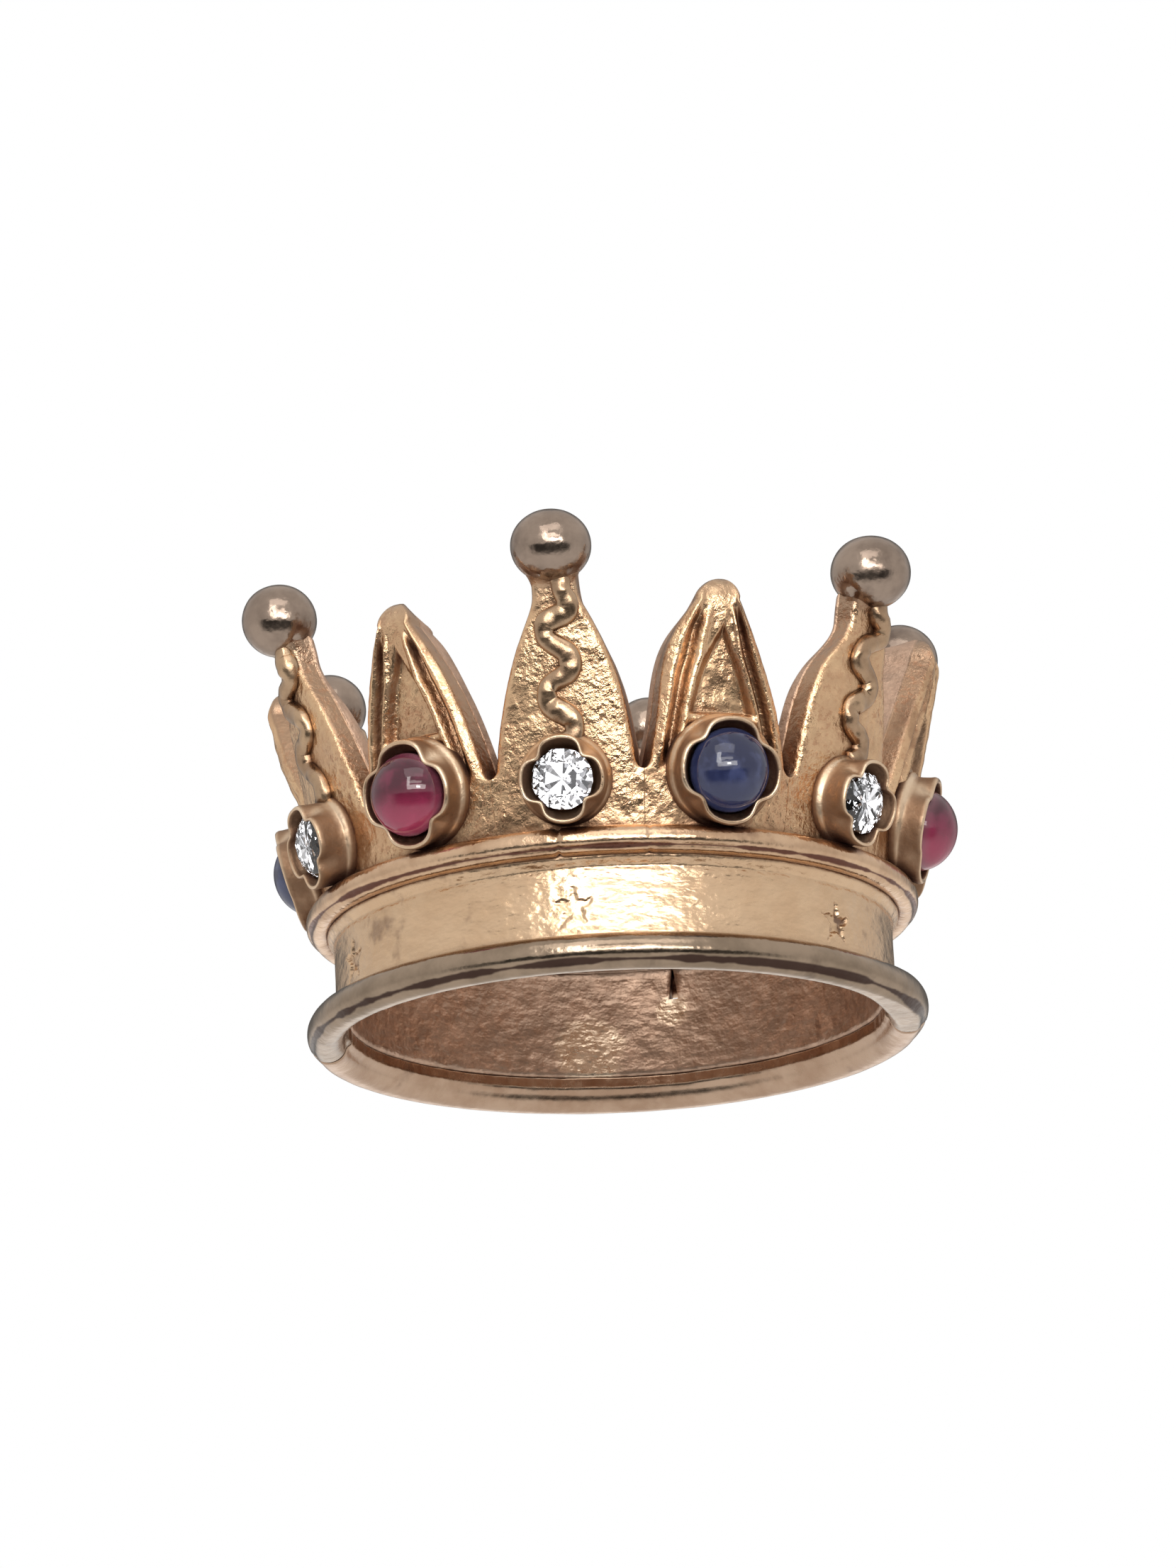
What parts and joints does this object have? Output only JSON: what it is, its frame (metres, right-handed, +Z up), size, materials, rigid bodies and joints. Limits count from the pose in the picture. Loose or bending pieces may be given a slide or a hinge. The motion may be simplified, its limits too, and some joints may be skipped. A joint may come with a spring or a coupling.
{
  "type": "crown",
  "caption": "Small gold-tone jewelled crown ornament: plain band between two rims, leaning pointed wall with ball-tipped and lancet points, collet-set clear, red and blue stones.",
  "frame": {"origin": "centre of the bottom plane, on the crown's axis", "axes": "+Z up along the crown's axis towards the points; -Y towards the front ball point; +X to the front's right as the viewer sees it"},
  "size_m": [0.0266, 0.029, 0.0171],
  "materials": {
    "gold_tone": "rose-gold-tone casting, lightly grained, worn bright on edges, brown in the hollows",
    "copper_tone": "satin copper-brown sides with polished rims",
    "dark_bronze": "polished greyish bronze, lightly tarnished",
    "clear_stone": "faceted clear colourless stone",
    "red_cabochon": "polished pink-red cabochon, slightly translucent",
    "blue_cabochon": "polished navy cabochon, slightly translucent"
  },
  "bodies": {
    "root": {"band": "gold_tone", "base_rim_front": "dark_bronze", "base_rim_rear": "dark_bronze", "collar_rim": "gold_tone", "crown_wall": "gold_tone", "ball_finial_1": "dark_bronze", "ball_finial_2": "dark_bronze", "ball_finial_3": "dark_bronze", "ball_finial_4": "dark_bronze", "ball_finial_5": "dark_bronze", "ball_finial_6": "dark_bronze", "scroll_wire_1": "gold_tone", "scroll_wire_2": "gold_tone", "scroll_wire_3": "gold_tone", "scroll_wire_4": "gold_tone", "scroll_wire_5": "gold_tone", "scroll_wire_6": "gold_tone", "clear_collet_1": "copper_tone", "clear_collet_2": "copper_tone", "clear_collet_3": "copper_tone", "clear_collet_4": "copper_tone", "clear_collet_5": "copper_tone", "clear_collet_6": "copper_tone", "clear_stone_1": "clear_stone", "clear_stone_2": "clear_stone", "clear_stone_3": "clear_stone", "clear_stone_4": "clear_stone", "clear_stone_5": "clear_stone", "clear_stone_6": "clear_stone", "cabochon_collet_1": "copper_tone", "cabochon_collet_2": "copper_tone", "cabochon_collet_3": "copper_tone", "cabochon_collet_4": "copper_tone", "cabochon_collet_5": "copper_tone", "cabochon_collet_6": "copper_tone", "blue_cabochon_1": "blue_cabochon", "red_cabochon_2": "red_cabochon", "blue_cabochon_3": "blue_cabochon", "red_cabochon_4": "red_cabochon", "blue_cabochon_5": "blue_cabochon", "red_cabochon_6": "red_cabochon"}
  },
  "joints": []
}
